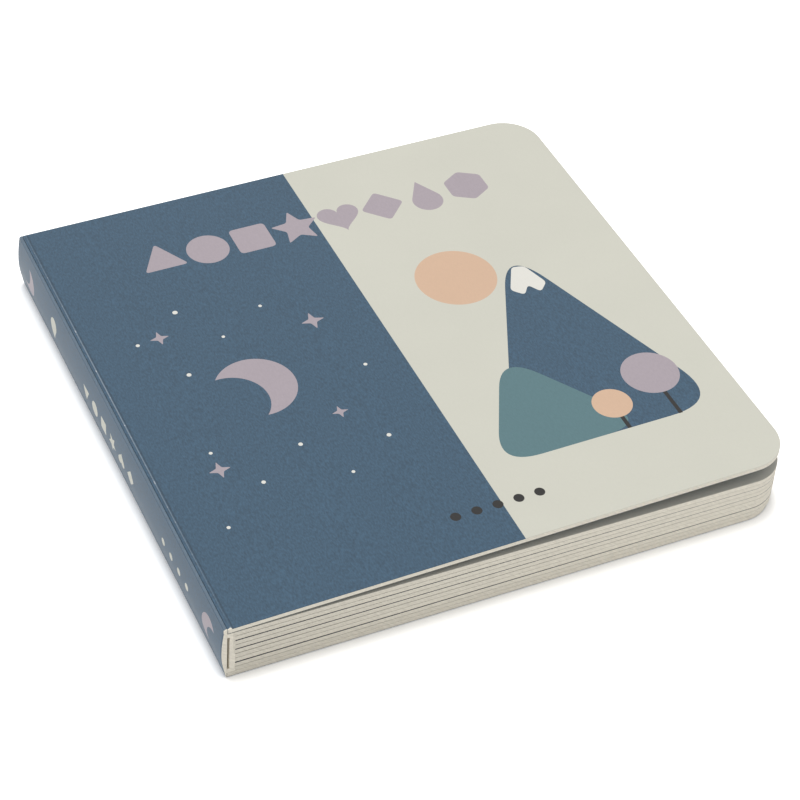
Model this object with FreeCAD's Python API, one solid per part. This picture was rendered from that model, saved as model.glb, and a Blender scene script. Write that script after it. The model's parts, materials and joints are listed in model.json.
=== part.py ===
import FreeCAD
import Part
import math
import os

# A square board book, lying shut on its back cover.
# X runs from the spine to the fore edge, Y from the tail (bottom of the page) to the head, and Z up.
# The origin is under the middle of the book, on the surface that it lies on. Sizes are in millimetres.
# The cover is one thick card, folded round the leaves: front panel, spine panel and back panel.
# The front panel has sprung up a little at its crease, so it stands open by a narrow wedge.
# Each leaf is two glued thicknesses of card. The leaves are joined at their folds and are one solid,
# with the openings between them cut from the fore edge to the fold.

# Whole book
book_width = 151.2        # spine to fore edge
book_height = 150.0       # tail to head
corner_radius = 10.5      # die-cut rounding of the two corners at the fore edge

# Cover card
card = 1.38               # thickness of the cover card
fold_radius = 0.6         # outside of the folds along the spine
fold_flat = 0.1           # least flat strip between such a fold and the crease beside it
spine_bow = 0.6           # how far the spine panel swells outwards at half its height
crease_gap = 0.08         # play between the spine panel and the end of each cover panel
crease_round = 0.3        # rounding of a cover panel along its crease, which shows as a groove
crease_land = 0.2         # least flat end that this rounding leaves on the panel
cover_lift = 1.08         # degrees that the front panel stands open

# Leaves
leaf_count = 9
leaf = 1.25               # thickness of one leaf
slit_at_fold = 0.25       # opening between two leaves beside the fold, where the folds swell the block
slit_at_fore = 0.0875     # the same opening at the fore edge
fold_depth = 1.45         # from the backs of the folds to the ends of the openings
hollow = 0.5              # gap between the spine panel and the backs of the folds
fold_bulge = 0.2          # how far each fold bulges into that gap
cover_play = 0.1          # between the block of leaves and each cover panel

# What follows from them
spine_face = -book_width / 2
fore_edge = book_width / 2
tail = -book_height / 2
crease = spine_face + card
fold_back = crease + hollow
slit_root = fold_back + fold_depth
block_bottom = card + cover_play
spine_fold = min(fold_radius, card - spine_bow - fold_flat)
panel_round = min(crease_round, card - crease_land)
cutter_margin = 1.0       # how far the cutters of the openings reach past the fore edge


def slit_at(x):
    """Height of the opening between two leaves at x."""
    share = max(0.0, (x - slit_root) / (fore_edge - slit_root))
    return slit_at_fold + (slit_at_fore - slit_at_fold) * share


def block_height(x):
    """Thickness of the block of leaves at x."""
    return leaf_count * leaf + (leaf_count - 1) * slit_at(x)


def slit_middle(number, x):
    """Height of the middle of an opening at x, counted from 1 at the bottom."""
    return block_bottom + number * leaf + (number - 0.5) * slit_at(x)


block_top = block_bottom + block_height(slit_root)
book_thickness = block_top + cover_play + card


def at(x, z):
    """A point of the section that runs from the spine to the fore edge, in the plane of the tail."""
    return FreeCAD.Vector(x, tail, z)


def line(start, end):
    return Part.LineSegment(start, end).toShape()


def arc(start, middle, end):
    return Part.Arc(start, middle, end).toShape()


def prism(edges):
    """A closed section in the plane of the tail, drawn out to the head."""
    face = Part.Face(Part.Wire(edges))
    return face.extrude(FreeCAD.Vector(0, book_height, 0))


def polygon(points):
    return [line(a, b) for a, b in zip(points, points[1:] + points[:1])]


def trimmed_plan(start_x, bottom, top):
    """A slab from start_x to the fore edge, with the two corners there rounded."""
    bevel = corner_radius * (1 - math.sqrt(0.5))
    head = -tail

    def spot(x, y):
        return FreeCAD.Vector(x, y, bottom)

    edges = [
        line(spot(start_x, head), spot(start_x, tail)),
        line(spot(start_x, tail), spot(fore_edge - corner_radius, tail)),
        arc(
            spot(fore_edge - corner_radius, tail),
            spot(fore_edge - bevel, tail + bevel),
            spot(fore_edge, tail + corner_radius),
        ),
        line(spot(fore_edge, tail + corner_radius), spot(fore_edge, head - corner_radius)),
        arc(
            spot(fore_edge, head - corner_radius),
            spot(fore_edge - bevel, head - bevel),
            spot(fore_edge - corner_radius, head),
        ),
        line(spot(fore_edge - corner_radius, head), spot(start_x, head)),
    ]
    return Part.Face(Part.Wire(edges)).extrude(FreeCAD.Vector(0, 0, top - bottom))


def cover_panel(bottom, crease_height):
    """One flat panel of the cover, rounded where its outer face meets the crease."""
    start_x = crease + crease_gap
    panel = trimmed_plan(start_x, bottom, bottom + card)
    along_crease = [
        edge
        for edge in panel.Edges
        if all(abs(v.X - start_x) < 1e-6 and abs(v.Z - crease_height) < 1e-6 for v in edge.Vertexes)
    ]
    return panel.makeFillet(panel_round, along_crease)


def front_cover():
    panel = cover_panel(book_thickness - card, book_thickness)
    pivot = FreeCAD.Vector(crease, 0, book_thickness)
    panel.rotate(pivot, FreeCAD.Vector(0, -1, 0), cover_lift)
    return panel


def back_cover():
    return cover_panel(0.0, 0.0)


def spine_panel():
    """Flat inside, bowed outside, with rounded folds at its top and bottom."""
    bowed_face = spine_face + spine_bow
    half_way = book_thickness / 2
    inset = spine_fold * (1 - math.sqrt(0.5))
    top = book_thickness
    section = [
        line(at(crease, 0), at(crease, top)),
        line(at(crease, top), at(bowed_face + spine_fold, top)),
        arc(
            at(bowed_face + spine_fold, top),
            at(bowed_face + inset, top - inset),
            at(bowed_face, top - spine_fold),
        ),
        arc(at(bowed_face, top - spine_fold), at(spine_face, half_way), at(bowed_face, spine_fold)),
        arc(
            at(bowed_face, spine_fold),
            at(bowed_face + inset, inset),
            at(bowed_face + spine_fold, 0),
        ),
        line(at(bowed_face + spine_fold, 0), at(crease, 0)),
    ]
    return prism(section)


def leaf_middle(number):
    """Height beside the fold of the middle of a leaf, counted from 1 at the bottom."""
    return block_bottom + (number - 0.5) * leaf + (number - 1) * slit_at_fold


def block_section():
    """Outline of the block. Its top and bottom leaves reach back to the spine panel, to which they are glued."""
    foot_top = block_bottom + leaf
    head_bottom = block_top - leaf
    section = [
        line(at(crease, block_top), at(crease, head_bottom)),
        line(at(crease, head_bottom), at(fold_back, head_bottom)),
        line(at(fold_back, head_bottom), at(fold_back, leaf_middle(leaf_count - 1))),
    ]
    for number in range(leaf_count - 2, 1, -1):
        section.append(
            arc(
                at(fold_back, leaf_middle(number + 1)),
                at(fold_back - fold_bulge, slit_middle(number, slit_root)),
                at(fold_back, leaf_middle(number)),
            )
        )
    section += [
        line(at(fold_back, leaf_middle(2)), at(fold_back, foot_top)),
        line(at(fold_back, foot_top), at(crease, foot_top)),
        line(at(crease, foot_top), at(crease, block_bottom)),
        line(at(crease, block_bottom), at(fore_edge, block_bottom)),
        line(at(fore_edge, block_bottom), at(fore_edge, block_bottom + block_height(fore_edge))),
        line(at(fore_edge, block_bottom + block_height(fore_edge)), at(slit_root, block_top)),
        line(at(slit_root, block_top), at(crease, block_top)),
    ]
    return section


def opening_cutter(number):
    """The thin wedge of air between two leaves, round at the fold."""
    past_edge = fore_edge + cutter_margin
    near = slit_middle(number, slit_root)
    far = slit_middle(number, past_edge)
    half_near = slit_at_fold / 2
    half_far = slit_at(past_edge) / 2
    return prism(
        [
            line(at(slit_root, near + half_near), at(past_edge, far + half_far)),
            line(at(past_edge, far + half_far), at(past_edge, far - half_far)),
            line(at(past_edge, far - half_far), at(slit_root, near - half_near)),
            arc(
                at(slit_root, near - half_near),
                at(slit_root - half_near, near),
                at(slit_root, near + half_near),
            ),
        ]
    )


def page_block():
    block = prism(block_section())
    block = block.common(trimmed_plan(crease, block_bottom, block_top))
    for number in range(1, leaf_count):
        block = block.cut(opening_cutter(number))
    return block.removeSplitter()


def main():
    os.makedirs("parts", exist_ok=True)
    pieces = {
        "front_cover": front_cover(),
        "back_cover": back_cover(),
        "spine_panel": spine_panel(),
        "page_block": page_block(),
    }
    for name, shape in pieces.items():
        box = shape.BoundBox
        print(
            f"{name}: valid {shape.isValid()}, solids {len(shape.Solids)}, volume {shape.Volume:.1f} mm3, "
            f"x {box.XMin:.3f}..{box.XMax:.3f}, y {box.YMin:.3f}..{box.YMax:.3f}, z {box.ZMin:.3f}..{box.ZMax:.3f}"
        )
        shape.exportStep(f"parts/{name}.step")
    print(f"book thickness at the spine {book_thickness:.3f} mm")


main()
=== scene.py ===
"""Dresses a square board book: printed and laminated card covers round a block of thick card leaves.

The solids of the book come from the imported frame. Each piece here has the same form, cut finer: flush fields
of ink on the covers and the spine, pressed arrises, and leaves that are single plates with an opening between
each two. Plans and sections are in millimetres. Meshes are in metres, in the frame's own axes: X from the
spine to the fore edge, Y from the tail to the head, and Z up.
"""

from __future__ import annotations

import json
import logging
import math
import random
from collections.abc import Callable, Sequence
from dataclasses import dataclass, field
from enum import Enum

import bmesh
import bpy
from mathutils import Matrix, Vector
from mathutils.geometry import delaunay_2d_cdt


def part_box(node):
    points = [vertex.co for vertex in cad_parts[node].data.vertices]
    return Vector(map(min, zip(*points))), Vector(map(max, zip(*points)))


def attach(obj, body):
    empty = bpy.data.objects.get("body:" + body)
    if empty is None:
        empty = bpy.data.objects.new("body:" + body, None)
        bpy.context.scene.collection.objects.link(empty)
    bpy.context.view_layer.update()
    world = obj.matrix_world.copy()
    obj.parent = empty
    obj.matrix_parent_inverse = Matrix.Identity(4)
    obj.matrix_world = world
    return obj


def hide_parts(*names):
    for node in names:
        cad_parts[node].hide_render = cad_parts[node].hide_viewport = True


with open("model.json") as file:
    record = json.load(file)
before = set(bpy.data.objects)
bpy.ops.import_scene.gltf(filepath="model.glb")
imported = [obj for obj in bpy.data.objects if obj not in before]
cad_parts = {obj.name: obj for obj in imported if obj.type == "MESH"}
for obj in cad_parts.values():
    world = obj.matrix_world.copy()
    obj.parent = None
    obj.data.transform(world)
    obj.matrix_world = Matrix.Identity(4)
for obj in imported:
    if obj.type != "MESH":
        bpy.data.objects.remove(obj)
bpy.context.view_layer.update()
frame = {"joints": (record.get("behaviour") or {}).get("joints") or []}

log = logging.getLogger("board_book")

MM = 0.001
CLOSE_MM = 1e-3                 # points of a plan that are nearer than this are at one place
NOISE_SPAN = (0.3, 0.7)         # nearly all the values of a noise lie between these
NOISE_ROUGHNESS = 0.6

Point = tuple[float, float]
Loop = list[Point]
Place = Callable[[float, float, float], Vector]
Triple = tuple[float, float, float]
Piece = bpy.types.Object
Tree = bpy.types.NodeTree
Socket = bpy.types.NodeSocket


def linear(hex_colour: str) -> tuple[float, ...]:
    """Turns an sRGB hex colour into linear light.

    Args:
        hex_colour: Six hex digits after a hash sign.

    Returns:
        Red, green, blue and an alpha of one.
    """
    shares = [int(hex_colour[i : i + 2], 16) / 255 for i in (1, 3, 5)]
    light = [s / 12.92 if s <= 0.04045 else ((s + 0.055) / 1.055) ** 2.4 for s in shares]
    return (light[0], light[1], light[2], 1.0)


def add_node(
    tree: Tree,
    kind: str,
    settings: dict[str, object] | None = None,
    inputs: dict[str | int, object] | None = None,
) -> bpy.types.Node:
    """Adds a node, sets it up and links it.

    Args:
        tree: The node tree that gets the node.
        kind: The node's type.
        settings: Properties of the node itself.
        inputs: For each input, by name or number, either a value or the output socket that feeds it.

    Returns:
        The new node.
    """
    node = tree.nodes.new(kind)
    for name, value in (settings or {}).items():
        setattr(node, name, value)
    for key, value in (inputs or {}).items():
        socket = node.inputs[key]
        if isinstance(value, Socket):
            tree.links.new(value, socket)
        else:
            socket.default_value = value
    return node


def empty_material(name: str) -> tuple[bpy.types.Material, Tree]:
    """Makes a material whose node tree is still empty."""
    material = bpy.data.materials.new(name)
    material.use_nodes = True
    material.node_tree.nodes.clear()
    return material, material.node_tree


def calc(tree: Tree, operation: str, *values: Socket | float) -> Socket:
    """Returns what a sum gives for its values."""
    node = add_node(tree, "ShaderNodeMath", {"operation": operation}, dict(enumerate(values)))
    return node.outputs["Value"]


def ranged(tree: Tree, value: Socket, span: Point, low: float = 0.0, high: float = 1.0) -> Socket:
    """Returns what goes from low to high while a value goes from one end of a span to the other."""
    inputs = {"Value": value, "From Min": span[0], "From Max": span[1], "To Min": low, "To Max": high}
    return add_node(tree, "ShaderNodeMapRange", inputs=inputs).outputs["Result"]


def noise(tree: Tree, place: Socket, size_mm: float, detail: float) -> Socket:
    """Returns noise whose blotches are about size_mm across."""
    inputs = {"Vector": place, "Scale": 1 / (size_mm * MM), "Detail": detail, "Roughness": NOISE_ROUGHNESS}
    return add_node(tree, "ShaderNodeTexNoise", inputs=inputs).outputs["Fac"]


def combined(tree: Tree, **axes: Socket) -> Socket:
    """Returns a vector from its axes, with zero for those left out."""
    return add_node(tree, "ShaderNodeCombineXYZ", inputs=axes).outputs["Vector"]


def stretched(tree: Tree, place: Socket, scale: Triple, slant_deg: float = 0.0) -> Socket:
    """Returns the places for a pattern that is stretched by a scale and then turned about Z."""
    inputs = {"Vector": place, "Rotation": (0.0, 0.0, math.radians(slant_deg)), "Scale": scale}
    return add_node(tree, "ShaderNodeMapping", {"vector_type": "TEXTURE"}, inputs).outputs["Vector"]


def tinted(tree: Tree, value: Socket, hex_colour: str) -> Socket:
    """Returns a colour, made lighter or darker by a value."""
    inputs = {"Value": value, "Color": linear(hex_colour)}
    return add_node(tree, "ShaderNodeHueSaturation", inputs=inputs).outputs["Color"]


def covered(tree: Tree, share: Socket, colour: Socket, hex_colour: str) -> Socket:
    """Returns a colour with a share of another over it."""
    inputs = {"Factor": share, 6: colour, 7: linear(hex_colour)}
    return add_node(tree, "ShaderNodeMix", {"data_type": "RGBA"}, inputs).outputs[2]


def surface(
    tree: Tree, relief: float, relief_mm: float, height: Socket, shine: dict[str, Socket | float]
) -> None:
    """Ends a material with its shader.

    Args:
        tree: The material's node tree.
        relief: How strongly the relief shows.
        relief_mm: Its depth.
        height: Its pattern.
        shine: The shader's other inputs by name.
    """
    bump = {"Strength": relief, "Distance": relief_mm * MM, "Height": height}
    normal = {"Normal": add_node(tree, "ShaderNodeBump", inputs=bump).outputs["Normal"]}
    shader = add_node(tree, "ShaderNodeBsdfPrincipled", inputs=shine | normal)
    add_node(tree, "ShaderNodeOutputMaterial", inputs={"Surface": shader.outputs["BSDF"]})


def in_scene(name: str, data: bpy.types.ID) -> Piece:
    """Makes an object of a mesh, a lamp or a camera, and puts it into the scene."""
    made = bpy.data.objects.new(name, data)
    bpy.context.scene.collection.objects.link(made)
    return made


# Finishes


@dataclass(frozen=True)
class LaminatedInk:
    """Offset ink on coated card under a matt film.

    The film gives a soft, broad shine. Ink and film show a fine, faint grain that runs towards the head.
    """

    name: str
    hex_colour: str
    mottle: float = 0.1
    roughness: float = 0.36
    roughness_play: float = 0.05
    ior: float = 1.46
    grain_mm: float = 0.38      # the film's grain is finer; it is drawn this coarse so that it shows
    grain_stretch: float = 2.5
    cloud_mm: float = 30.0
    cloud_play: float = 0.015
    relief: float = 0.35
    relief_mm: float = 0.012

    def material(self) -> bpy.types.Material:
        """Builds the finish as a material."""
        material, tree = empty_material(self.name)
        place = add_node(tree, "ShaderNodeTexCoord").outputs["Object"]
        grain = noise(tree, stretched(tree, place, (1.0, self.grain_stretch, 1.0)), self.grain_mm, 3.0)
        colour = self._colour(tree, place, grain)
        play = self.roughness_play
        roughness = ranged(tree, grain, (0.2, 0.8), self.roughness - play, self.roughness + play)
        shine = {"Base Color": colour, "Roughness": roughness, "IOR": self.ior}
        surface(tree, self.relief, self.relief_mm, grain, shine)
        return material

    def _colour(self, tree: Tree, place: Socket, grain: Socket) -> Socket:
        """Returns the ink's colour, a little lighter and darker with its grain and its clouds."""
        fine = ranged(tree, grain, NOISE_SPAN, -self.mottle, self.mottle)
        cloud = noise(tree, place, self.cloud_mm, 2.0)
        broad = ranged(tree, cloud, NOISE_SPAN, 1 - self.cloud_play, 1 + self.cloud_play)
        return tinted(tree, calc(tree, "ADD", fine, broad), self.hex_colour)


@dataclass(frozen=True)
class WornCreaseWithPaintedLight(LaminatedInk):
    """Laminated ink at the crease: a pale line of painted highlight, with specks worn through to the card.

    The line is strongest near the middle, and the arris is bare where it ends at the tail. Beside it lies
    painted shade, a darker line in the crease's valley, and over the spine's fold the ink is a little paler.
    """

    line_x_mm: float = 0.0
    half_width_mm: float = 0.19
    core: float = 0.3           # the part of the half width over which a line has its full strength
    half_height_mm: float = 75.0
    bare_end_mm: float = 0.9
    line_highlight: float = 0.34
    highlight_and_wear_at_tail: float = 0.1
    highlight_and_wear_at_head: float = 0.15
    strongest: float = 0.13     # peak of highlight and specks, as a share of the way from middle to head
    fold_paling: float = 0.13
    fold_paling_starts_mm: float = 0.85
    valley_shade_mm: float = 0.46
    valley_shade_width: float = 1.3  # against the width of the highlight line
    valley_shade: float = 0.4
    speck_mm: float = 2.4
    speck_span: Point = (0.62, 0.68)
    # the pale colour of the worn specks, the painted highlight and the paler fold
    wear_and_highlight_hex: str = "#CED5DB"

    def _colour(self, tree: Tree, place: Socket, grain: Socket) -> Socket:
        """Returns the ink's colour with its painted shade, painted highlight, worn specks and paler fold."""
        ink = super()._colour(tree, place, grain)
        axes = add_node(tree, "ShaderNodeSeparateXYZ", inputs={"Vector": place}).outputs
        offset = calc(tree, "SUBTRACT", axes["X"], self.line_x_mm * MM)
        # Beside the highlight, a darker line of painted shade in the crease's valley.
        beside = calc(tree, "ABSOLUTE", calc(tree, "SUBTRACT", offset, self.valley_shade_mm * MM))
        width, core = self.half_width_mm * MM, self.core * self.half_width_mm * MM
        shade = ranged(tree, beside, (self.valley_shade_width * width, core), 0.0, self.valley_shade)
        ink = covered(tree, shade, ink, "#000000")
        line = ranged(tree, calc(tree, "ABSOLUTE", offset), (width, core))
        reach = self.half_height_mm * MM
        peak = self.strongest * reach
        rising = ranged(tree, axes["Y"], (-reach, peak), self.highlight_and_wear_at_tail)
        falling = ranged(tree, axes["Y"], (reach, peak), self.highlight_and_wear_at_head)
        along = calc(tree, "MULTIPLY", rising, falling)
        specks = ranged(tree, noise(tree, place, self.speck_mm, 3.0), self.speck_span)
        # Along the line, a painted highlight everywhere, and full pale where worn specks reach the card.
        highlight_and_wear = calc(tree, "MULTIPLY", along, calc(tree, "MAXIMUM", specks, self.line_highlight))
        bare = ranged(tree, axes["Y"], (self.bare_end_mm * MM - reach, -reach))
        worn = calc(tree, "MULTIPLY", line, calc(tree, "MAXIMUM", highlight_and_wear, bare))
        # Over the spine's fold the ink is made a little paler.
        over_fold = calc(tree, "LESS_THAN", offset, -self.fold_paling_starts_mm * MM)
        paled_fold = calc(tree, "MULTIPLY", over_fold, self.fold_paling)
        return covered(tree, calc(tree, "MAXIMUM", paled_fold, worn), ink, self.wear_and_highlight_hex)


@dataclass(frozen=True)
class CutBoard:
    """Solid bleached board where the knife has cut through it.

    The cut shows bare fibre: dull, warm white, with slanting drag marks across the leaves and finer fibre.
    """

    name: str
    hex_colour: str
    strand_hex: str
    roughness: float = 0.86
    ior: float = 1.4
    drag_mm: float = 0.5
    drag_stretch: float = 4.5
    drag_slant_deg: float = -42.0
    drag_play: Point = (0.91, 1.07)
    fibre_mm: float = 0.22
    fibre_play: Point = (0.96, 1.03)
    ply_mm: float = 1.5
    ply_play: Point = (0.97, 1.02)
    strand: float = 0.45
    strand_span: Point = (0.66, 0.76)
    relief: float = 0.5
    relief_mm: float = 0.04

    def material(self) -> bpy.types.Material:
        """Builds the finish as a material."""
        material, tree = empty_material(self.name)
        place = add_node(tree, "ShaderNodeTexCoord").outputs["Object"]
        axes = add_node(tree, "ShaderNodeSeparateXYZ", inputs={"Vector": place}).outputs
        face = combined(tree, X=calc(tree, "ADD", axes["X"], axes["Y"]), Y=axes["Z"])
        dragged = stretched(tree, face, (self.drag_stretch, 1.0, 1.0), self.drag_slant_deg)
        drag = noise(tree, dragged, self.drag_mm, 2.0)
        fibre = noise(tree, face, self.fibre_mm, 3.0)
        ply = noise(tree, combined(tree, Z=axes["Z"]), self.ply_mm, 0.0)
        value = ranged(tree, drag, NOISE_SPAN, *self.drag_play)
        for pattern, play in ((fibre, self.fibre_play), (ply, self.ply_play)):
            value = calc(tree, "MULTIPLY", value, ranged(tree, pattern, NOISE_SPAN, *play))
        strands = ranged(tree, fibre, self.strand_span, 0.0, self.strand)
        colour = covered(tree, strands, tinted(tree, value, self.hex_colour), self.strand_hex)
        shine = {"Base Color": colour, "Roughness": self.roughness, "IOR": self.ior}
        surface(tree, self.relief, self.relief_mm, drag, shine)
        return material


class Finish(Enum):
    """Each finish of the book, by what it covers."""

    DEEP_BLUE = "ink_deep_blue"
    CREAM = "ink_cream"
    LILAC = "ink_lilac"
    TEAL = "ink_teal"
    PEACH = "ink_peach"
    BLACK = "ink_soft_black"
    WHITE = "ink_white"
    CREASE = "worn_crease"
    CUT_EDGE = "cut_edge"
    PALE_PAGE = "page_pale"
    DARK_PAGE = "page_slate"


class Palette:
    """Makes each finish's material once and hands it out."""

    def __init__(self, line_x_mm: float, half_height_mm: float) -> None:
        """Sets up the finishes.

        Args:
            line_x_mm: Where the front cover's crease has its line of painted highlight and worn specks.
            half_height_mm: From the middle of the book to its head or tail.
        """
        blue, grainy, dull = "#39566C", 0.28, 0.5
        inks = {
            Finish.DEEP_BLUE: (blue, grainy),
            Finish.CREAM: ("#D2D1C4", 0.01),
            Finish.LILAC: ("#ACA1A8", 0.04),
            Finish.TEAL: ("#587A80", 0.05),
            Finish.PEACH: ("#D8B69A", 0.02),
            Finish.BLACK: ("#1E1C1A", 0.05),
            Finish.WHITE: ("#E6E4DC", 0.01),
            Finish.PALE_PAGE: ("#D0CCBF", 0.015, dull),
            Finish.DARK_PAGE: ("#485057", 0.1, dull),
        }
        crease = {"line_x_mm": line_x_mm, "half_height_mm": half_height_mm}
        self.finishes = {finish: LaminatedInk(finish.value, *given) for finish, given in inks.items()}
        self.finishes[Finish.CREASE] = WornCreaseWithPaintedLight(Finish.CREASE.value, blue, grainy, **crease)
        self.finishes[Finish.CUT_EDGE] = CutBoard(Finish.CUT_EDGE.value, "#ECE6D7", "#BDB6A4")
        self.made: dict[Finish, bpy.types.Material] = {}

    def __getitem__(self, finish: Finish) -> bpy.types.Material:
        """Returns the material of a finish."""
        if finish not in self.made:
            self.made[finish] = self.finishes[finish].material()
        return self.made[finish]


# Flat motifs, each a closed loop round its own middle


def turned(loop: Loop, degrees: float) -> Loop:
    """Turns a loop about the origin."""
    c, s = math.cos(math.radians(degrees)), math.sin(math.radians(degrees))
    return [(x * c - y * s, x * s + y * c) for x, y in loop]


def moved(loop: Loop, u: float, v: float) -> Loop:
    """Moves a loop."""
    return [(x + u, y + v) for x, y in loop]


def swing(radius: float, start: float, end: float, steps: int) -> Loop:
    """Points along an arc about the origin, both ends included, with its angles in degrees."""
    angles = [math.radians(start + (end - start) * i / steps) for i in range(steps + 1)]
    return [(radius * math.cos(a), radius * math.sin(a)) for a in angles]


def disc(radius: float, steps: int = 48) -> Loop:
    """A filled circle."""
    return swing(radius, 0, 360, steps)[:-1]


def regular(radius: float, sides: int, inner: float | None = None) -> Loop:
    """A regular polygon with a corner at its top, or a star where inner is given."""
    count = sides * (1 if inner is None else 2)
    reach = [radius if inner is None or i % 2 == 0 else inner for i in range(count)]
    angles = [math.radians(90 + 360 * i / count) for i in range(count)]
    return [(r * math.cos(a), r * math.sin(a)) for r, a in zip(reach, angles)]


def softened(loop: Loop, radius: float, steps: int = 5) -> Loop:
    """Rounds every corner of a polygon.

    Args:
        loop: The polygon's corners.
        radius: How far along each side the rounding starts, at most 0.45 of the side.
        steps: Points along each rounding.

    Returns:
        The rounded polygon.
    """
    result: Loop = []
    for before, corner, after in zip(loop[-1:] + loop[:-1], loop, loop[1:] + loop[:1]):
        ends = []
        for other in (before, after):
            side = math.dist(corner, other)
            share = min(radius, 0.45 * side) / side
            ends.append(tuple(c + (o - c) * share for c, o in zip(corner, other)))
        for i in range(steps + 1):
            t = i / steps
            pulls = (((1 - t) ** 2, ends[0]), (2 * t * (1 - t), corner), (t * t, ends[1]))
            result.append(tuple(sum(pull * spot[axis] for pull, spot in pulls) for axis in (0, 1)))
    return result


def rectangle(u0: float, v0: float, u1: float, v1: float) -> Loop:
    """A rectangle from its lower left to its upper right corner."""
    return [(u0, v0), (u1, v0), (u1, v1), (u0, v1)]


def block(width: float, height: float, radius: float) -> Loop:
    """A rectangle with rounded corners."""
    return softened(rectangle(-width / 2, -height / 2, width / 2, height / 2), radius)


def heart(width: float) -> Loop:
    """A heart, from the usual curve for one."""
    scale = width / 32
    loop = []
    for i in range(48):
        t = 2 * math.pi * i / 48
        x = 16 * math.sin(t) ** 3
        y = 13 * math.cos(t) - 5 * math.cos(2 * t) - 2 * math.cos(3 * t) - math.cos(4 * t)
        loop.append((-x * scale, y * scale))
    return loop


def drop(height: float) -> Loop:
    """A drop with its point up."""
    radius = height * 0.33
    round_part = moved(swing(radius, 150, 390, 32), 0, radius - height / 2)
    return round_part + [(0.0, height / 2)]


def crescent(radius: float) -> Loop:
    """A waxing moon, with its horns at 60 degrees either side of its middle."""
    outer = swing(radius, 60, 300, 48)
    horn_x, horn_y = outer[0]
    bite = radius * 0.93
    centre = horn_x + math.sqrt(bite**2 - horn_y**2) - bite * 0.02
    tip = math.degrees(math.atan2(horn_y, horn_x - centre))
    inner = moved(swing(math.hypot(horn_x - centre, horn_y), 360 - tip, tip, 40), centre, 0)
    return outer + inner[1:-1]


def worn_corner(reach: float) -> Loop:
    """A ragged patch where the film has worn off a corner of the card, from its own corner at the origin."""
    ragged = [(0.85 * reach, 0.22), (0.55 * reach, 0.5), (0.3 * reach, 0.3), (-1.0, 0.62)]
    return [(-1.0, -1.0), (reach, -1.0)] + ragged


def counter_clockwise(loop: Loop) -> Loop:
    """Returns the loop in counter-clockwise order."""
    area = sum(a[0] * b[1] - b[0] * a[1] for a, b in zip(loop, loop[1:] + loop[:1]))
    return loop if area > 0 else loop[::-1]


@dataclass
class Artwork:
    """Motifs in the order in which they are printed, each over the ones before it."""

    ground: Finish
    motifs: list[tuple[Finish, Loop]] = field(default_factory=list)

    def add(self, finish: Finish, loop: Loop, u: float = 0.0, v: float = 0.0) -> None:
        """Prints a motif with its middle at u, v."""
        self.motifs.append((finish, counter_clockwise(moved(loop, u, v))))

    def add_row(self, finish: Finish, loops: Sequence[Loop], start: Point, step: Point) -> None:
        """Prints motifs in a row, the first with its middle at the start and each a step further."""
        for i, loop in enumerate(loops):
            self.add(finish, loop, start[0] + step[0] * i, start[1] + step[1] * i)


@dataclass
class Division:
    """A flat outline, divided into triangles that each have one finish."""

    spots: list[Point]
    triangles: list[tuple[int, ...]]
    finishes: list[Finish]
    rim: list[int]
    rim_finishes: list[Finish]


def divide(outline: Loop, artwork: Artwork, folds: Sequence[tuple[Point, Point]] = ()) -> Division:
    """Divides an outline along the edges of its artwork.

    Args:
        outline: The outer edge, counter-clockwise.
        artwork: What is printed inside it.
        folds: Further lines along which triangles end.

    Returns:
        The triangles, and the outline's own points in order.
    """
    loops = [outline] + [loop for _, loop in artwork.motifs]
    inks = [artwork.ground] + [finish for finish, _ in artwork.motifs]
    spots: list[Vector] = []
    rings = []
    for loop in loops:
        rings.append(list(range(len(spots), len(spots) + len(loop))))
        spots += [Vector(p) for p in loop]
    lines = []
    for start, end in folds:
        lines.append((len(spots), len(spots) + 1))
        spots += [Vector(start), Vector(end)]
    verts, _, faces, _, _, sources = delaunay_2d_cdt(spots, lines, rings, 1, 1e-5)
    triangles, finishes = [], []
    for corners, source in zip(faces, sources):
        if 0 in source:
            triangles.append(tuple(corners))
            finishes.append(inks[max(source)])
    ink_of: dict[tuple[int, int], Finish] = {}
    for corners, finish in zip(triangles, finishes):
        for a, b in zip(corners, corners[1:] + corners[:1]):
            if (b, a) in ink_of:
                del ink_of[(b, a)]
            else:
                ink_of[(a, b)] = finish
    after = dict(ink_of.keys())
    rim = [next(iter(after))]
    while after[rim[-1]] != rim[0]:
        rim.append(after[rim[-1]])
    rim_finishes = [ink_of[(a, b)] for a, b in zip(rim, rim[1:] + rim[:1])]
    return Division([tuple(v) for v in verts], triangles, finishes, rim, rim_finishes)


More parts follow.
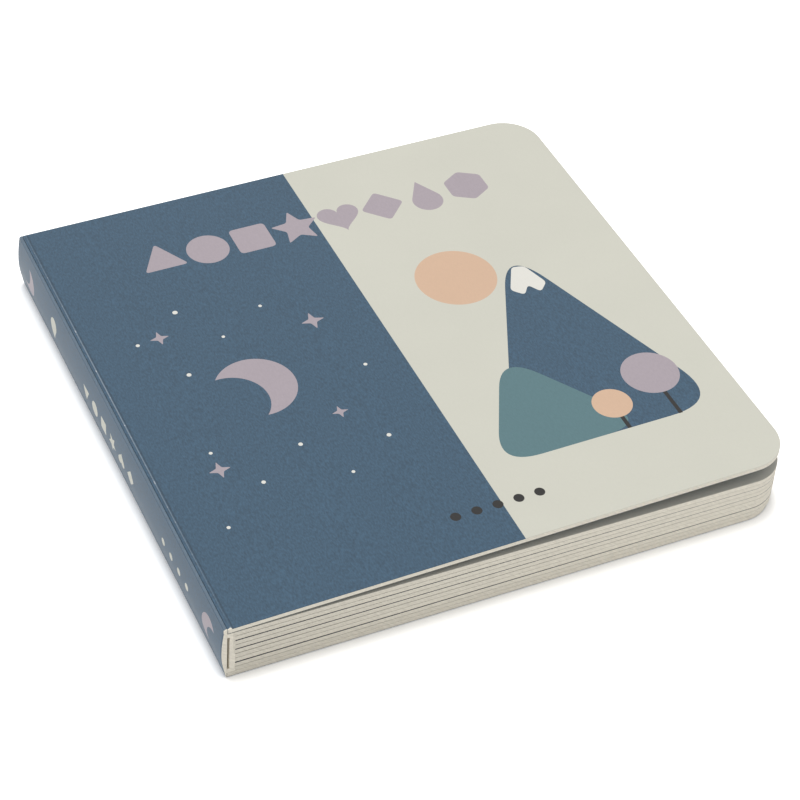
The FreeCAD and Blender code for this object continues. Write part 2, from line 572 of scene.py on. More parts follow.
class MeshMaker:
    """Collects points and faces, each face with its finish, and turns them into a closed mesh."""

    def __init__(self, name: str, palette: Palette) -> None:
        """Starts an empty piece."""
        self.name = name
        self.palette = palette
        self.bm = bmesh.new()
        self.slots: list[Finish] = []
        self.side = self.bm.faces.layers.float.new("side")

    def point(self, where: Vector) -> bmesh.types.BMVert:
        """Adds a point, given in metres."""
        return self.bm.verts.new(where)

    def face(
        self, corners: Sequence[bmesh.types.BMVert], finish: Finish, smooth: bool = False, side: float = 0.0
    ) -> None:
        """Adds a face.

        Args:
            corners: Its points, in order.
            finish: What covers it.
            smooth: Whether it is part of a rounded surface.
            side: 1 on the upper face of a leaf and its arris, -1 on the lower one, and 0 on the cut.
        """
        if finish not in self.slots:
            self.slots.append(finish)
        made = self.bm.faces.new(corners)
        made.material_index = self.slots.index(finish)
        made.smooth = smooth
        made[self.side] = side

    def finished(self) -> Piece:
        """Turns the faces outwards and returns the piece."""
        unused = [spot for spot in self.bm.verts if not spot.link_faces]
        bmesh.ops.delete(self.bm, geom=unused, context="VERTS")
        bmesh.ops.remove_doubles(self.bm, verts=self.bm.verts, dist=1e-8)
        bmesh.ops.recalc_face_normals(self.bm, faces=self.bm.faces)
        mesh = bpy.data.meshes.new(self.name)
        self.bm.to_mesh(mesh)
        self.bm.free()
        for finish in self.slots:
            mesh.materials.append(self.palette[finish])
        return in_scene(self.name, mesh)


@dataclass
class Plate:
    """The plan of a cover panel or a leaf: a rectangle with its two fore-edge corners rounded.

    Lengths are in millimetres, u from the plate's hinge or fold and v from the middle of the book. The edge
    at the hinge or fold has a finish of its own, and the arris round the inner face may have one too.
    """

    start: float
    end: float
    half_height: float
    corner: float
    thickness: float
    arris: float
    start_arris: float
    arris_steps: int = 4
    corner_steps: int = 24
    start_finish: Finish = Finish.CUT_EDGE
    inner_rim: Finish | None = None

    def outline(self) -> Loop:
        """The edge of the plate's flat face, inside its rounded arris."""
        u0 = self.start + self.start_arris
        v = self.half_height - self.arris
        centre_u, centre_v = self.end - self.corner, self.half_height - self.corner
        radius = self.corner - self.arris
        tail = moved(swing(radius, -90, 0, self.corner_steps), centre_u, -centre_v)
        head = moved(swing(radius, 0, 90, self.corner_steps), centre_u, centre_v)
        return [(u0, -v)] + tail + head + [(u0, v)]

    def outward(self, u: float, v: float) -> Point:
        """Which way the edge faces at a point of the outline, longer where the start's arris is larger."""
        centre_u, centre_v = self.end - self.corner, self.half_height - self.corner
        if u > centre_u and abs(v) > centre_v:
            du, dv = u - centre_u, abs(v) - centre_v
            reach = math.hypot(du, dv)
            return (du / reach, math.copysign(dv / reach, v))
        across = -self.start_arris / self.arris if self.at_start(u) else 0.0
        along = math.copysign(1.0, v) if abs(v) > self.half_height - self.arris - CLOSE_MM else 0.0
        if across == 0.0 and along == 0.0:
            return (1.0, 0.0)
        return (across, along)

    def at_start(self, u: float) -> bool:
        """Whether a point of the outline lies along the hinge or fold."""
        return u < self.start + self.start_arris + CLOSE_MM

    def rows(self) -> list[Triple]:
        """How the edge goes down the plate's side.

        Returns:
            For each row of points, how far it lies outside the flat face's edge, its depth, and the side that
            the faces above it belong to.
        """
        turn = [(y, self.arris - x) for x, y in swing(self.arris, 0, 90, self.arris_steps)]
        upper = [(out, depth, 1.0) for out, depth in turn[1:]]
        lower = [(out, self.thickness - depth, -1.0) for out, depth in turn[-2::-1]]
        return upper + [(self.arris, self.thickness - self.arris, 0.0)] + lower

    def build(
        self, name: str, palette: Palette, artwork: Artwork, inner: Finish, place: Place
    ) -> Piece:
        """Builds the plate.

        Args:
            name: The piece's name.
            palette: Where its materials come from.
            artwork: The print on its outer face.
            inner: The finish of its inner face.
            place: Gives a point in metres for u, v and the depth under the outer face.

        Returns:
            The piece.
        """
        maker = MeshMaker(name, palette)
        division = divide(self.outline(), artwork)
        top = [maker.point(place(u, v, 0.0)) for u, v in division.spots]
        for corners, finish in zip(division.triangles, division.finishes):
            maker.face([top[i] for i in corners], finish, side=1.0)
        above = [top[i] for i in division.rim]
        for out, depth, side in self.rows():
            ring = []
            for i in division.rim:
                u, v = division.spots[i]
                nu, nv = self.outward(u, v)
                ring.append(maker.point(place(u + nu * out, v + nv * out, depth)))
            for k, ink in enumerate(division.rim_finishes):
                n = (k + 1) % len(ring)
                edge = [division.spots[division.rim[i]][0] for i in (k, n)]
                cut = self.start_finish if all(map(self.at_start, edge)) else Finish.CUT_EDGE
                finish = {1.0: ink, 0.0: cut, -1.0: self.inner_rim or inner}[side]
                maker.face([above[k], above[n], ring[n], ring[k]], finish, smooth=True, side=side)
            above = ring
        maker.face(above, inner, side=-1.0)
        return maker.finished()


# The book


@dataclass
class BookSizes:
    """What the pieces share, read from the frame, in millimetres."""

    spine_face: float
    crease: float
    fore_edge: float
    half_height: float
    thickness: float
    card: float
    lift: float
    corner: float = 10.5

    @classmethod
    def read(cls) -> BookSizes:
        """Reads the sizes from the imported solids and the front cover's hinge."""
        hinge = next(j for j in frame["joints"] if j["name"] == "front_cover_hinge")
        pivot_x, _, pivot_z = (value / MM for value in hinge["pos_m"])
        _, block_high = (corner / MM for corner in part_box("page_block"))
        spine_low, _ = (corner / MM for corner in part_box("spine_panel"))
        _, back_high = (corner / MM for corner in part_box("back_cover"))
        _, front_high = (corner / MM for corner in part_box("front_cover"))
        lift = math.asin((front_high.z - pivot_z) / (block_high.x - pivot_x))
        return cls(spine_low.x, pivot_x, block_high.x, block_high.y, pivot_z, back_high.z, lift)


@dataclass
class CoverPanel:
    """What both panels share: card from the crease to the fore edge, with its arrises pressed round."""

    sizes: BookSizes
    gap: float = 0.08
    arris: float = 0.13
    crease_arris: float = 0.3

    def plate(self, inner_rim: Finish | None = None) -> Plate:
        """The panel's plan, with the finish of its inner arris where that differs from the inner face."""
        s = self.sizes
        end = s.fore_edge - s.crease
        plan = Plate(self.gap, end, s.half_height, s.corner, s.card, self.arris, self.crease_arris)
        plan.start_finish = Finish.DEEP_BLUE
        plan.inner_rim = inner_rim
        return plan


@dataclass
class FrontCover(CoverPanel):
    """The front panel of the cover, with the whole front print."""

    print_width: float = 150.0
    split_u: float = 75.3
    crease_strip: float = 1.6
    crease_line_u: float = 0.9
    worn: float = 1.3

    def artwork(self) -> Artwork:
        """The front print: night on the left, day on the right, and rows of shapes and of dots over both.

        Motifs are placed by u, which ends at the fore edge, and by v from the tail.
        """
        art = Artwork(Finish.DEEP_BLUE)
        beyond = 160.0
        art.add(Finish.CREAM, rectangle(self.split_u, -5.0, beyond, beyond))
        self._shape_row(art)
        self._night(art)
        self._day(art)
        art.add_row(Finish.BLACK, [disc(1.35, 24)] * 5, (63.0, 12.6), (5.6, 0.0))
        return art

    def _shape_row(self, art: Artwork) -> None:
        """Eight filled shapes in a row near the head."""
        size = 11.6
        shapes = [
            softened(regular(size * 0.6, 3), 1.2),
            disc(size / 2),
            block(size * 0.88, size * 0.88, 1.4),
            softened(regular(size * 0.6, 5, size * 0.28), 0.7),
            heart(size * 1.02),
            turned(block(size * 0.76, size * 0.76, 1.2), 45),
            drop(size * 1.12),
            softened(regular(size * 0.55, 6), 1.0),
        ]
        art.add_row(Finish.LILAC, shapes, (31.5, 126.8), (12.75, 0.0))

    def _night(self, art: Artwork) -> None:
        """A small moon among stars on the blue half."""
        art.add(Finish.LILAC, turned(crescent(10.5), 205), 36.0, 72.0)
        star = softened(regular(2.6, 4, 0.95), 0.3)
        stars = ((20.0, 98.0, 1.0), (59.0, 90.0, 1.25), (52.0, 56.0, 0.85), (17.0, 48.0, 1.1))
        for u, v, size in stars:
            art.add(Finish.LILAC, [(x * size, y * size) for x, y in star], u, v)
        taken = [(36.0, 72.0, 13.0)] + [(u, v, 5.0) for u, v, _ in stars]
        scatter = random.Random(7)
        golden = 0.618034
        for i in range(16):
            u = 12.0 + 56.0 * ((i * golden) % 1.0)
            v = 30.0 + 5.1 * i + scatter.uniform(-1.5, 1.5)
            if all(math.dist((u, v), (a, b)) > clear for a, b, clear in taken):
                art.add(Finish.WHITE, disc(scatter.uniform(0.45, 0.75), 16), u, v)

    def _day(self, art: Artwork) -> None:
        """Two hills, a low sun and two round trees on the cream half."""
        ground = 24.0
        art.add(Finish.PEACH, disc(11.0, 64), 101.0, 92.0)
        art.add(Finish.DEEP_BLUE, softened([(84.0, ground), (144.0, ground), (118.0, 98.0)], 16.0, 14))
        cap = [(112.2, 82.0), (115.0, 79.0), (117.4, 82.2), (119.6, 78.6), (122.6, 81.6), (120.0, 89.6)]
        art.add(Finish.WHITE, softened(cap + [(116.6, 90.4)], 1.2))
        art.add(Finish.TEAL, softened([(80.0, ground), (122.0, ground), (98.0, 60.0)], 12.0, 14))
        for u, v, radius, crown in ((131.0, 40.0, 7.6, Finish.LILAC), (116.5, 33.5, 5.2, Finish.PEACH)):
            art.add(Finish.BLACK, block(1.1, v - ground, 0.2), u, ground + (v - ground) / 2)
            art.add(crown, disc(radius), u, v)

    def build(self, palette: Palette) -> Piece:
        """Builds the panel, standing open at its crease as the solid does."""
        s = self.sizes
        art = self.artwork()
        shift_u = s.fore_edge - self.print_width - s.crease
        art.motifs = [(finish, moved(loop, shift_u, -s.half_height)) for finish, loop in art.motifs]
        edge = s.half_height + 1.0
        # Along the crease: the painted highlight line with its worn specks, and the painted shade beside it.
        art.add(Finish.CREASE, rectangle(-1.0, -edge, self.gap + self.crease_strip, edge))
        art.add(Finish.CUT_EDGE, worn_corner(self.worn), 0.0, -s.half_height)
        hinge = Vector((s.crease, 0.0, s.thickness)) * MM
        opened = Matrix.Translation(hinge) @ Matrix.Rotation(s.lift, 4, Vector((0.0, -1.0, 0.0)))
        return self.plate().build(
            "front_cover_printed",
            palette,
            art,
            # The inner face is deep blue ink: a dark sheet that stands in for the shade in the gap under the
            # lifted cover.
            Finish.DEEP_BLUE,
            lambda u, v, depth: opened @ Vector((u * MM, v * MM, -depth * MM)),
        )


@dataclass
class BackCover(CoverPanel):
    """The back panel of the cover, in the ground colour."""

    def artwork(self) -> Artwork:
        """The back print: three plain shapes at the middle of the panel."""
        art = Artwork(Finish.DEEP_BLUE)
        middle = (self.sizes.fore_edge - self.sizes.crease) / 2
        shapes = (softened(regular(6.4, 3), 1.1), disc(5.4), softened(regular(6.4, 5, 3.0), 0.7))
        seen = [[(-x, y) for x, y in shape] for shape in shapes]
        art.add_row(Finish.LILAC, seen, (middle - 15.0, 6.0), (15.0, 0.0))
        return art

    def build(self, palette: Palette) -> Piece:
        """Builds the panel, flat on what the book lies on."""
        crease = self.sizes.crease
        return self.plate(inner_rim=Finish.CUT_EDGE).build(
            "back_cover_printed",
            palette,
            self.artwork(),
            Finish.DEEP_BLUE,
            lambda u, v, depth: Vector(((crease + u) * MM, v * MM, depth * MM)),
        )


@dataclass
class SpinePanel:
    """The narrow panel between the covers: flat inside, bowed outside, with a rounded fold at each side.

    The lower half of its bow is tucked in a little, under the weight of the leaves.
    """

    sizes: BookSizes
    bow: float = 0.6
    fold_radius: float = 0.6
    tuck: float = 0.55
    crease_arris: float = 0.08
    crease_strip: float = 0.8
    end_arris: float = 0.06
    fold_steps: int = 8
    bow_steps: int = 14
    tie_pitch: float = 10.0     # lines across the skin, which keep its triangles short and its shading even
    end_tie: float = 0.9
    worn: float = 1.9

    def profile(self) -> Loop:
        """The outer skin in section, as x and z, from the upper crease to the lower one."""
        s = self.sizes
        bowed = s.spine_face + self.bow
        r, c = self.fold_radius, self.crease_arris
        half = s.thickness / 2 - r
        bend = (half**2 + self.bow**2) / (2 * self.bow)
        reach = math.degrees(math.asin(half / bend))
        upper = moved(swing(c, 0, 90, 3), s.crease - c, s.thickness - c)
        upper += moved(swing(r, 90, 180, self.fold_steps), bowed + r, s.thickness - r)
        curve = swing(bend, 180 - reach, 180 + reach, self.bow_steps)
        whole = upper + moved(curve, s.spine_face + bend, s.thickness / 2)[1:-1]
        whole += [(x, s.thickness - z) for x, z in upper[::-1]]
        pulled = []
        for x, z in whole:
            share = max(0.0, 1 - 2 * z / s.thickness) ** 2 * (s.crease - x) / (s.crease - bowed)
            pulled.append((x + self.tuck * share, z))
        return pulled

    def artwork(self, length: float) -> Artwork:
        """The spine print: small shapes down its middle, read from the head.

        Args:
            length: The skin's length from crease to crease.

        Returns:
            The print, with u along the skin from the upper crease and v from the tail.
        """
        art = Artwork(Finish.DEEP_BLUE)
        middle = length / 2
        row = [
            softened(regular(2.5, 3), 0.4),
            disc(2.1, 24),
            block(3.7, 3.7, 0.5),
            softened(regular(2.6, 5, 1.2), 0.3),
            heart(4.3),
            turned(block(3.2, 3.2, 0.4), 45),
        ]
        art.add_row(Finish.CREAM, [turned(shape, -90) for shape in row], (middle, 94.0), (0.0, -6.6))
        art.add_row(Finish.CREAM, [disc(1.05, 20)] * 4, (middle, 38.0), (0.0, -5.2))
        art.add(Finish.CREAM, turned(drop(6.8), -90), middle, 120.0)
        art.add(Finish.LILAC, turned(crescent(4.0), 120), middle, 140.5)
        art.add(Finish.LILAC, turned(crescent(4.0), 300), middle, 8.5)
        return art

    def build(self, palette: Palette) -> Piece:
        """Builds the panel."""
        s = self.sizes
        profile = self.profile()
        lengths = [0.0]
        for a, b in zip(profile, profile[1:]):
            lengths.append(lengths[-1] + math.dist(a, b))
        total = lengths[-1]
        edge = s.half_height - self.end_arris
        art = self.artwork(total)
        art.motifs = [(finish, moved(loop, 0.0, -s.half_height)) for finish, loop in art.motifs]
        strip = min(u for u in lengths if u > self.crease_strip)
        # Over the fold the skin takes the crease's finish, which is a little paler there.
        art.add(Finish.CREASE, block(2 * strip, 4 * s.half_height, 0.0))
        art.add(Finish.CUT_EDGE, worn_corner(self.worn), 0.0, -s.half_height)
        folds = [((u, -edge), (u, edge)) for u in lengths[1:-1]]
        most = int(edge / self.tie_pitch)
        ties = [self.end_tie - edge, edge - self.end_tie]
        ties += [self.tie_pitch * k for k in range(-most, most + 1)]
        folds += [((0.0, v), (total, v)) for v in ties]
        division = divide(rectangle(0.0, -edge, total, edge), art, folds)

        def section(u: float) -> Point:
            """The skin's x and z at a length along it."""
            i = max(k for k in range(len(lengths) - 1) if lengths[k] <= u + CLOSE_MM or k == 0)
            share = (u - lengths[i]) / (lengths[i + 1] - lengths[i])
            a, b = profile[i], profile[i + 1]
            return (a[0] + (b[0] - a[0]) * share, a[1] + (b[1] - a[1]) * share)

        maker = MeshMaker("spine_panel_printed", palette)
        skin = []
        for u, v in division.spots:
            x, z = section(u)
            skin.append(maker.point(Vector((x, v, z)) * MM))
        for corners, finish in zip(division.triangles, division.finishes):
            maker.face([skin[i] for i in corners], finish, smooth=True)
        for end in (-1.0, 1.0):
            self._cap(maker, division, skin, section, end)
        inner = [i for i in division.rim if division.spots[i][0] < CLOSE_MM]
        outer = [i for i in division.rim if division.spots[i][0] > total - CLOSE_MM]
        inner.sort(key=lambda i: division.spots[i][1])
        outer.sort(key=lambda i: -division.spots[i][1])
        maker.face([skin[i] for i in inner + outer], Finish.CUT_EDGE)
        return maker.finished()

    def _cap(
        self,
        maker: MeshMaker,
        division: Division,
        skin: list[bmesh.types.BMVert],
        section: Callable[[float], Point],
        end: float,
    ) -> None:
        """Closes one end of the panel: the cut edge of the card, with its arris rounded a little."""
        edge = (self.sizes.half_height - self.end_arris) * end
        rim = [i for i in division.rim if abs(division.spots[i][1] - edge) < CLOSE_MM]
        rim.sort(key=lambda i: division.spots[i][0])
        outer = [skin[i] for i in rim]
        around = [Vector(section(division.spots[i][0])) for i in rim]
        inset = []
        for before, here, after in zip(around[-1:] + around[:-1], around, around[1:] + around[:1]):
            way = (after - before).normalized()
            x, z = here.x - way.y * self.end_arris, here.y + way.x * self.end_arris
            inset.append(maker.point(Vector((x, self.sizes.half_height * end, z)) * MM))
        for k in range(len(rim)):
            n = (k + 1) % len(rim)
            maker.face([outer[k], outer[n], inset[n], inset[k]], Finish.CUT_EDGE)
        maker.face(inset, Finish.CUT_EDGE)


@dataclass
class Opening:
    """The opening between two leaves: its width at the fold and the fore edge, and if its pages are dark."""

    at_fold: float
    at_fore: float
    dark: bool = False


@dataclass
class PageBlock:
    """Nine card leaves, joined at their folds beside the spine.

    The leaves are plates on stations, so a tree of nodes lays them out. Their openings differ, as those of
    pressed leaves do: four are wider than the rest, and all narrow towards the fore edge. They are listed
    from the bottom. The pile leans out towards the fore edge, the lowest leaf furthest.
    """

    sizes: BookSizes
    leaf: float = 1.29
    hollow: float = 0.62
    fold_depth: float = 1.33
    fold_bulge: float = 0.08
    seat: float = 0.85
    lean: tuple[float, float] = (0.55, 0.3)
    trim_play: float = 0.02
    trim_seed: int = 11
    arris: float = 0.035
    inset: float = 0.01
    fold_steps: int = 8
    openings: tuple[Opening, ...] = (
        Opening(0.135, 0.03),
        Opening(0.31, 0.10, dark=True),
        Opening(0.135, 0.03),
        Opening(0.23, 0.08),
        Opening(0.28, 0.02, dark=True),
        Opening(0.135, 0.03),
        Opening(0.28, 0.02, dark=True),
        Opening(0.135, 0.03),
    )

    def __post_init__(self) -> None:
        """Works out the places that follow from the sizes."""
        self.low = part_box("page_block")[0].z / MM
        self.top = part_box("page_block")[1].z / MM
        self.fold_back = self.sizes.crease + self.hollow
        self.root = self.fold_back + self.fold_depth

    def _plate(self, palette: Palette) -> Piece:
        """One leaf, with its lower face at height zero and the ends of its openings at u zero."""
        s = self.sizes
        form = (s.half_height, s.corner, self.leaf, self.arris, self.arris)
        return Plate(-self.seat, s.fore_edge - self.root, *form, arris_steps=2).build(
            "leaf_pattern",
            palette,
            Artwork(Finish.PALE_PAGE),
            Finish.PALE_PAGE,
            lambda u, v, depth: Vector((u * MM, v * MM, (self.leaf - depth) * MM)),
        )

    def _stations(self) -> Piece:
        """A point for each leaf, with its tilt and whether the pages above and below it are dark."""
        length = self.sizes.fore_edge - self.root
        last = len(self.openings)
        points, tilts = [], []
        near = far = self.low
        for i in range(last + 1):
            out = self.lean[0] + (self.lean[1] - self.lean[0]) * i / last
            points.append(Vector((self.root + out, 0.0, near)) * MM)
            tilts.append(math.atan2(near - far, length))
            if i < last:
                near += self.leaf + self.openings[i].at_fold
                far += self.leaf + self.openings[i].at_fore
        dark = [float(opening.dark) for opening in self.openings]
        mesh = bpy.data.meshes.new("leaf_stations")
        mesh.from_pydata(points, [], [])
        for name, values in (("tilt", tilts), ("dark_above", dark + [0.0]), ("dark_below", [0.0] + dark)):
            mesh.attributes.new(name, "FLOAT", "POINT").data.foreach_set("value", values)
        return in_scene("leaf_stations", mesh)

    def _tree(self) -> bpy.types.GeometryNodeTree:
        """Makes the tree that lays a leaf on each station, tilts it, shifts it by its play and dresses it."""
        tree = bpy.data.node_groups.new("leaf_pile", "GeometryNodeTree")
        for name, kind in (
            ("Stations", "Geometry"),
            ("Leaf", "Object"),
            ("Trim Play", "Float"),
            ("Seed", "Int"),
            ("Cut Edge", "Material"),
            ("Pale Page", "Material"),
            ("Dark Page", "Material"),
        ):
            tree.interface.new_socket(name=name, in_out="INPUT", socket_type="NodeSocket" + kind)
        tree.interface.new_socket(name="Pile", in_out="OUTPUT", socket_type="NodeSocketGeometry")
        given = add_node(tree, "NodeGroupInput").outputs
        named = {}
        for name in ("tilt", "side", "dark_above", "dark_below"):
            read = add_node(tree, "GeometryNodeInputNamedAttribute", {"data_type": "FLOAT"}, {"Name": name})
            named[name] = read.outputs["Attribute"]
        leaf = add_node(tree, "GeometryNodeObjectInfo", inputs={"Object": given["Leaf"], "As Instance": True})
        lay = {"Points": given["Stations"], "Instance": leaf.outputs["Geometry"]}
        lay["Rotation"] = combined(tree, Y=named["tilt"])
        laid = add_node(tree, "GeometryNodeInstanceOnPoints", inputs=lay).outputs["Instances"]
        play, back = given["Trim Play"], calc(tree, "MULTIPLY", given["Trim Play"], -1.0)
        shift = add_node(
            tree,
            "FunctionNodeRandomValue",
            {"data_type": "FLOAT_VECTOR"},
            {0: combined(tree, X=back, Y=back), 1: combined(tree, X=play, Y=play), "Seed": given["Seed"]},
        ).outputs[0]
        move = {"Instances": laid, "Translation": shift}
        laid = add_node(tree, "GeometryNodeTranslateInstances", inputs=move).outputs["Instances"]
        pile = add_node(tree, "GeometryNodeRealizeInstances", inputs={"Geometry": laid}).outputs["Geometry"]
        side = named["side"]
        for value, operation, limit, material in (
            (side, "GREATER_THAN", -2.0, "Cut Edge"),
            (calc(tree, "ABSOLUTE", side), "GREATER_THAN", 0.5, "Pale Page"),
            (calc(tree, "MULTIPLY", side, named["dark_above"]), "GREATER_THAN", 0.5, "Dark Page"),
            (calc(tree, "MULTIPLY", side, named["dark_below"]), "LESS_THAN", -0.5, "Dark Page"),
        ):
            kind = {"data_type": "FLOAT", "operation": operation}
            chosen = add_node(tree, "FunctionNodeCompare", kind, {0: value, 1: limit}).outputs["Result"]
            dress = {"Geometry": pile, "Selection": chosen, "Material": given[material]}
            pile = add_node(tree, "GeometryNodeSetMaterial", inputs=dress).outputs["Geometry"]
        add_node(tree, "NodeGroupOutput", inputs={"Pile": pile})
        return tree

    def build_leaves(self, palette: Palette) -> Piece:
        """Lays out the leaves and returns them as one plain mesh."""
        pattern = self._plate(palette)
        stations = self._stations()
        modifier = stations.modifiers.new("leaf_pile", "NODES")
        modifier.node_group = self._tree()
        values = {
            "Leaf": pattern,
            "Trim Play": self.trim_play * MM,
            "Seed": self.trim_seed,
            "Cut Edge": palette[Finish.CUT_EDGE],
            "Pale Page": palette[Finish.PALE_PAGE],
            "Dark Page": palette[Finish.DARK_PAGE],
        }
        for socket in modifier.node_group.interface.items_tree:
            if socket.name in values:
                modifier[socket.identifier] = values[socket.name]
        depsgraph = bpy.context.evaluated_depsgraph_get()
        mesh = bpy.data.meshes.new_from_object(stations.evaluated_get(depsgraph), depsgraph=depsgraph)
        mesh.name = "leaves"
        stations.modifiers.remove(modifier)
        bpy.data.objects.remove(stations)
        bpy.data.objects.remove(pattern)
        return in_scene("leaves", mesh)

    def build_folds(self, palette: Palette) -> Piece:
        """Builds the folds that join the leaves, with the outermost leaves reaching back to the spine."""
        s = self.sizes
        heights = []
        near = self.low
        for opening in self.openings:
            near += self.leaf
            heights.append(near + opening.at_fold / 2)
            near += opening.at_fold
        middles = [(a + b) / 2 for a, b in zip(heights, heights[1:])]
        low, top = self.low + self.inset, self.top - self.inset
        section: Loop = [(self.root, low), (self.root, top), (s.crease, top)]
        section += [(s.crease, self.top - self.leaf), (self.fold_back, self.top - self.leaf)]
        for upper, lower in zip(middles[:0:-1], middles[-2::-1]):
            half = (upper - lower) / 2
            bulge = swing(1.0, 0, 180, self.fold_steps)
            section += [(self.fold_back - self.fold_bulge * y, lower + half + half * x) for x, y in bulge]
        section += [(self.fold_back, self.low + self.leaf), (s.crease, self.low + self.leaf), (s.crease, low)]
        maker = MeshMaker("leaf_folds", palette)
        tail, head = (
            [maker.point(Vector((x, end * s.half_height, z)) * MM) for x, z in section] for end in (-1, 1)
        )
        for k, (_, height) in enumerate(section):
            n = (k + 1) % len(section)
            level = height in (low, top) and abs(height - section[n][1]) < CLOSE_MM
            maker.face([tail[k], tail[n], head[n], head[k]], Finish.PALE_PAGE if level else Finish.CUT_EDGE)
        maker.face(tail, Finish.CUT_EDGE)
        maker.face(head, Finish.CUT_EDGE)
        return maker.finished()


# The studio


@dataclass(frozen=True)
class PhotoCamera:
    """The camera of the photograph, fitted to the book's corners and edges."""

    azimuth_deg: float = -27.8422
    elevation_deg: float = 42.6012
    roll_deg: float = 4.8615
    distance_mm: float = 588.4177
    target_mm: Triple = (-1.8228, -11.0824, 7.5)
    focal_px: float = 2300.554
    frame_px: float = 800.0
    sensor_mm: float = 36.0

    def build(self) -> Piece:
        """Makes the camera and gives it to the scene."""
        a, e, r = (math.radians(x) for x in (self.azimuth_deg, self.elevation_deg, self.roll_deg))
        back = Vector((math.sin(a) * math.cos(e), -math.cos(a) * math.cos(e), math.sin(e)))
        level_right = (-back).cross(Vector((0.0, 0.0, 1.0))).normalized()
        level_up = level_right.cross(-back)
        right = level_right * math.cos(r) + level_up * math.sin(r)
        up = level_up * math.cos(r) - level_right * math.sin(r)
        data = bpy.data.cameras.new("photo_camera")
        data.sensor_width = self.sensor_mm
        data.lens = self.sensor_mm * self.focal_px / self.frame_px
        data.clip_start = 0.01
        camera = in_scene("photo_camera", data)
        spot = (Vector(self.target_mm) + back * self.distance_mm) * MM
        camera.matrix_world = Matrix.Translation(spot) @ Matrix((right, up, back)).transposed().to_4x4()
        bpy.context.scene.camera = camera
        return camera


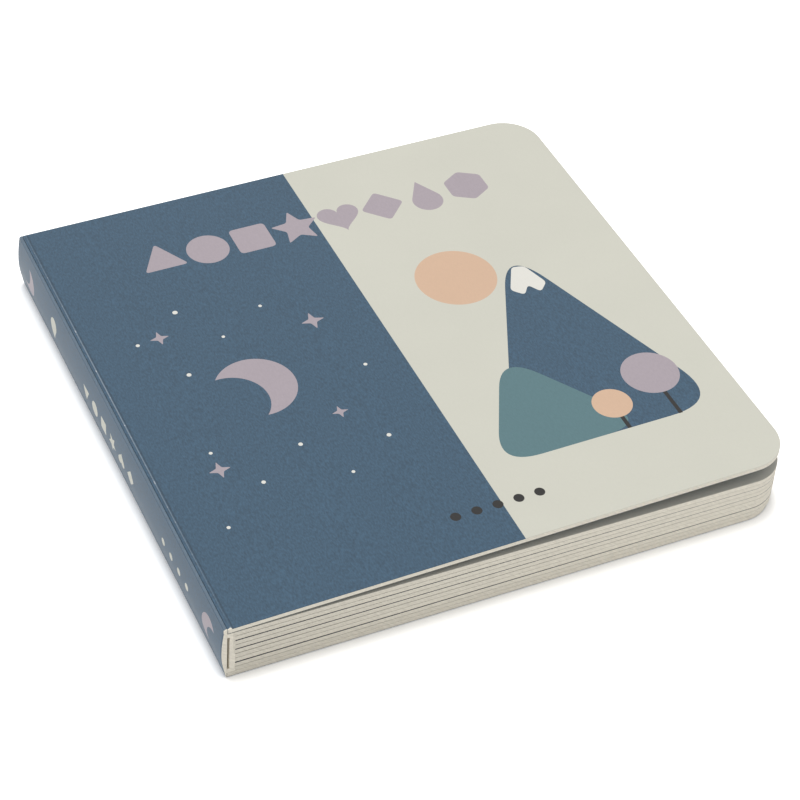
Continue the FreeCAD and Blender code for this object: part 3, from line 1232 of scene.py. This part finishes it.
@dataclass
class Studio:
    """A pale floor under an even sky, and one broad soft lamp."""

    sky_hex: str = "#FFFFFF"
    sky_strength: float = 0.7
    lamp_energy: float = 0.98
    lamp_spread_deg: float = 30.0
    lamp_from: Triple = (-0.15, 0.3, 1.0)
    floor_light: float = 0.9
    floor_gloss: float = 1.15
    floor_seen: float = 1.6
    contact_mm: float = 3.3
    contact: float = 0.62
    contact_samples: int = 16
    floor_radius: float = 4.0
    floor_drop_mm: float = 0.02

    def build(self) -> None:
        """Makes the sky, the lamp and the floor."""
        self._sky()
        self._lamp()
        self._floor()

    def _by_sight(self, tree: Tree, lighting: float, seen: float) -> Socket:
        """Returns a strength by what asks for it.

        Args:
            tree: The node tree.
            lighting: The strength with which other things are lit.
            seen: The strength that the camera, a reflection and a clear surface see.

        Returns:
            One strength or the other.
        """
        path = add_node(tree, "ShaderNodeLightPath").outputs
        gloss = calc(tree, "MAXIMUM", path["Is Camera Ray"], path["Is Glossy Ray"])
        direct = calc(tree, "MAXIMUM", gloss, path["Is Transmission Ray"])
        return ranged(tree, direct, (0.0, 1.0), lighting, seen)

    def _sky(self) -> None:
        """An even white sky, dimmer where it only lights the book."""
        world = bpy.data.worlds.new("studio_sky")
        bpy.context.scene.world = world
        world.use_nodes = True
        tree = world.node_tree
        tree.nodes.clear()
        inputs = {"Color": linear(self.sky_hex), "Strength": self._by_sight(tree, self.sky_strength, 1.0)}
        background = add_node(tree, "ShaderNodeBackground", inputs=inputs)
        add_node(tree, "ShaderNodeOutputWorld", inputs={"Surface": background.outputs["Background"]})

    def _lamp(self) -> None:
        """A broad lamp high over the head of the book, so that its shadow is short and falls to the tail."""
        data = bpy.data.lights.new("soft_lamp", "SUN")
        data.energy = self.lamp_energy
        data.angle = math.radians(self.lamp_spread_deg)
        lamp = in_scene("soft_lamp", data)
        lamp.rotation_mode = "QUATERNION"
        lamp.rotation_quaternion = Vector(self.lamp_from).to_track_quat("Z", "Y")

    def _floor(self) -> None:
        """A wide round floor, exposed to white where it is seen, which keeps only the book's close shadow.

        A reflection sees it less bright, so that the film's sheen stays soft. Close to the book it is shaded
        once more.
        """
        bm = bmesh.new()
        bmesh.ops.create_circle(bm, cap_ends=True, segments=64, radius=self.floor_radius)
        bmesh.ops.translate(bm, verts=bm.verts, vec=(0.0, 0.0, -self.floor_drop_mm * MM))
        mesh = bpy.data.meshes.new("floor")
        bm.to_mesh(mesh)
        bm.free()
        material, tree = empty_material("pale_floor")
        path = add_node(tree, "ShaderNodeLightPath").outputs
        bright = self._by_sight(tree, self.floor_light, self.floor_seen)
        dimmed = calc(tree, "MULTIPLY_ADD", path["Is Glossy Ray"], self.floor_gloss - self.floor_seen, bright)
        near = {"Distance": self.contact_mm * MM}
        open_share = add_node(
            tree, "ShaderNodeAmbientOcclusion", {"samples": self.contact_samples}, near
        ).outputs["AO"]
        hidden = ranged(tree, open_share, (1.0, 0.0), 0.0, self.contact)
        kept = calc(tree, "SUBTRACT", 1.0, calc(tree, "MULTIPLY", hidden, path["Is Camera Ray"]))
        matt = add_node(tree, "ShaderNodeBsdfDiffuse", inputs={"Color": calc(tree, "MULTIPLY", dimmed, kept)})
        add_node(tree, "ShaderNodeOutputMaterial", inputs={"Surface": matt.outputs["BSDF"]})
        mesh.materials.append(material)
        floor = in_scene("floor", mesh)


def settle(piece: Piece, body: str, slot: str) -> None:
    """Puts a finished piece on its body and reports it."""
    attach(piece, body)
    log.info("%s: %d faces on %s", piece.name, len(piece.data.polygons), body)


def main() -> None:
    """Builds the book's pieces in order, then the studio."""
    logging.basicConfig(level=logging.INFO, format="%(name)s %(message)s")
    sizes = BookSizes.read()
    front = FrontCover(sizes)
    palette = Palette(sizes.crease + front.crease_line_u, sizes.half_height)
    block_of_pages = PageBlock(sizes)
    made = (
        (front.build(palette), "front_board", "cover_card", "front_cover"),
        (BackCover(sizes).build(palette), "back_board", "cover_card", "back_cover"),
        (SpinePanel(sizes).build(palette), "pages", "cover_card", "spine_panel"),
        (block_of_pages.build_leaves(palette), "pages", "leaf_card", "page_block"),
        (block_of_pages.build_folds(palette), "pages", "leaf_card", "page_block"),
    )
    for piece, body, slot, node in made:
        settle(piece, body, slot)
        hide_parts(node)
    Studio().build()
    PhotoCamera().build()
    bpy.context.scene.view_settings.view_transform = "Standard"


if __name__ == "__main__":
    main()
